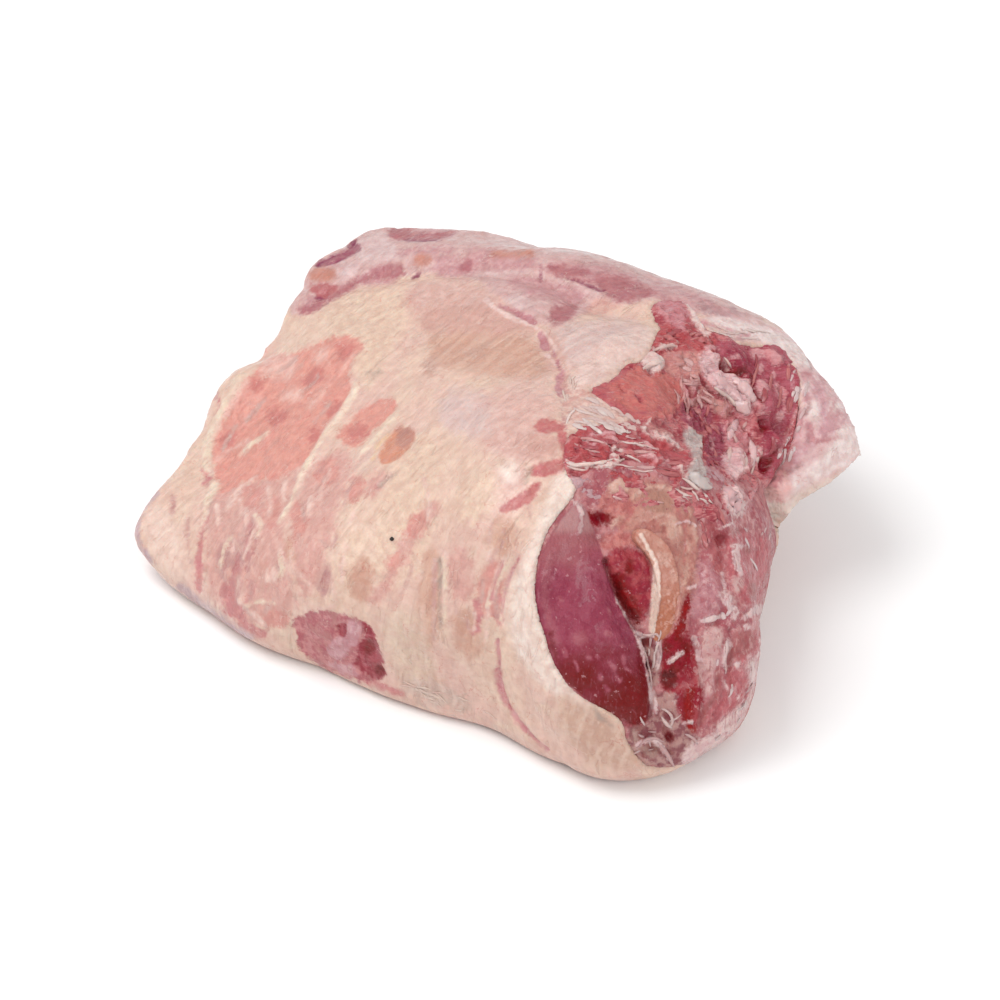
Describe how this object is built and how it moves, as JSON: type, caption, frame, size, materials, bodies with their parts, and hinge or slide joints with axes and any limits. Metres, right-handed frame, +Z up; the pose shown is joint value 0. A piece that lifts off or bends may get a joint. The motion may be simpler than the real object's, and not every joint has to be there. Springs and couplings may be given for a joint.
{
  "type": "raw lamb shoulder",
  "caption": "Raw bone-in lamb shoulder: a rounded block of meat in its own fat, with a smooth arm cut showing the bone, a torn neck cut and a pointed flap.",
  "frame": {"origin": "middle of the underside, on the surface that the meat lies on", "axes": "+X from the thin breast end to the cut end, +Y from the arm cut's side to the neck side, +Z up"},
  "size_m": [0.2316, 0.1878, 0.0939],
  "materials": {
    "meat_and_fat": "wet raw surface: cream fat with pink to crimson lean showing, soft sheen",
    "bone": "moist cut bone, ivory rim and tan inside"
  },
  "bodies": {
    "root": {"shoulder": "meat_and_fat", "blade_bone": "bone"}
  },
  "joints": []
}
